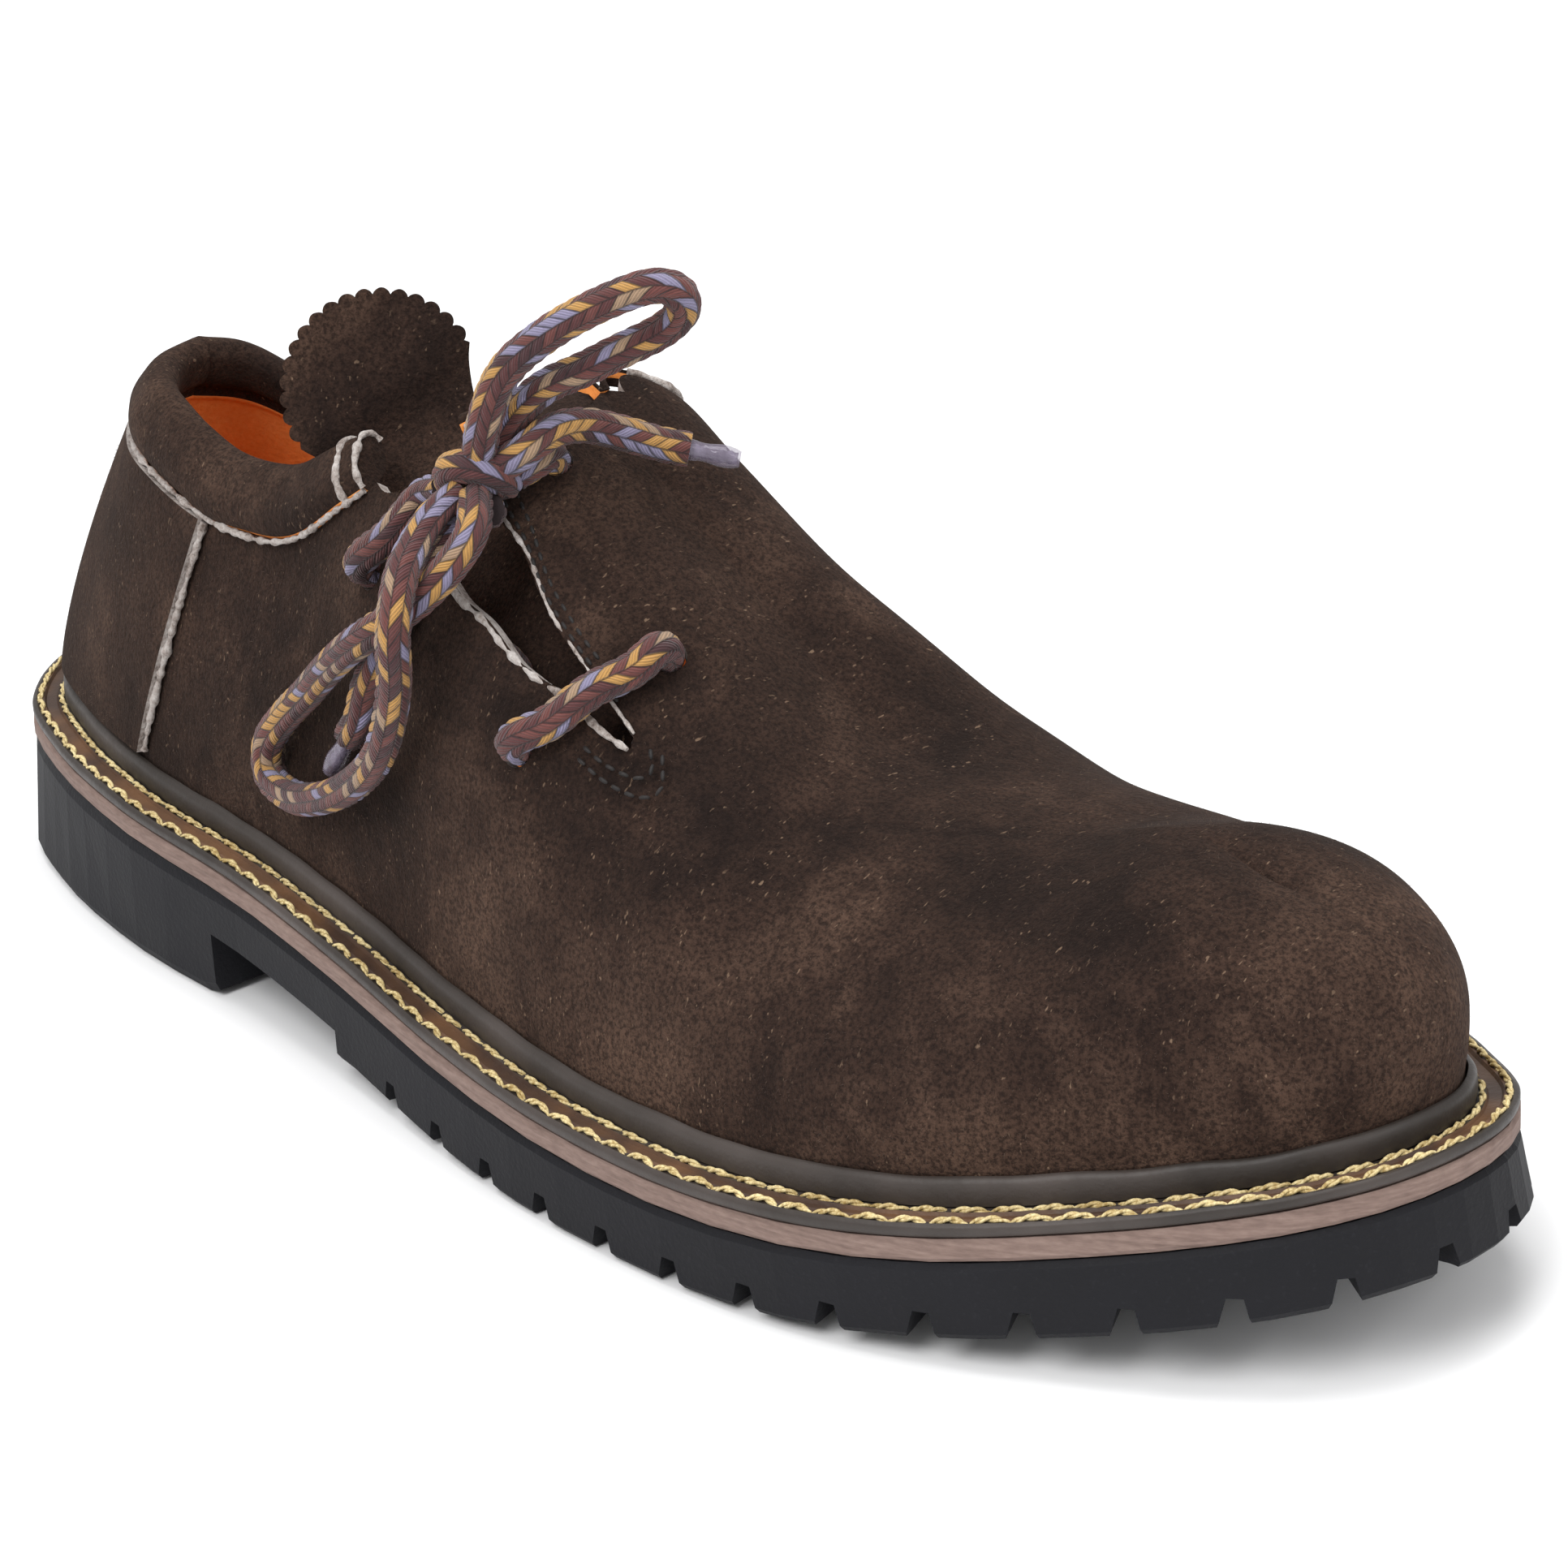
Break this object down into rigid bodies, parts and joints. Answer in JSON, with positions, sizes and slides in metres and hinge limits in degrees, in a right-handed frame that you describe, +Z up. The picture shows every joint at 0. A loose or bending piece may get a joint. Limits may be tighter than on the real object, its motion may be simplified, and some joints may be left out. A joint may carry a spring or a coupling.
{
  "type": "folk costume shoe",
  "caption": "Side-laced brown suede folk costume shoe, right foot, on a stitched welt and a black lugged rubber sole, with a pinked tongue and a braided lace tied in a bow",
  "frame": {"origin": "On the floor under the middle of the sole's bounding box, lace left out", "axes": "+X runs along the sole to the toe, +Y to the inner side of the foot, +Z up"},
  "size_m": [0.3094, 0.1079, 0.1252],
  "materials": {
    "black_rubber": "matt moulded rubber",
    "midsole_leather": "cut edge, pinkish brown",
    "welt_leather": "dark, slightly polished",
    "tan_footbed": "tan lining leather",
    "brown_suede": "suede nap, dark brown",
    "braided_lace": "round braid, burgundy with gold and grey",
    "clear_tip": "clear sleeve"
  },
  "bodies": {
    "root": {"outsole": "black_rubber", "midsole": "midsole_leather", "welt": "welt_leather", "rand": "welt_leather", "insole": "tan_footbed", "upper": "brown_suede", "counter": "brown_suede", "collar": "brown_suede", "tongue": "brown_suede", "lace_crossings": "braided_lace", "lace_knot": "braided_lace", "lace_loop_upper": "braided_lace", "lace_loop_lower": "braided_lace", "lace_end_front": "braided_lace", "lace_end_rear": "braided_lace", "aglet_front": "clear_tip", "aglet_rear": "clear_tip"}
  },
  "joints": []
}
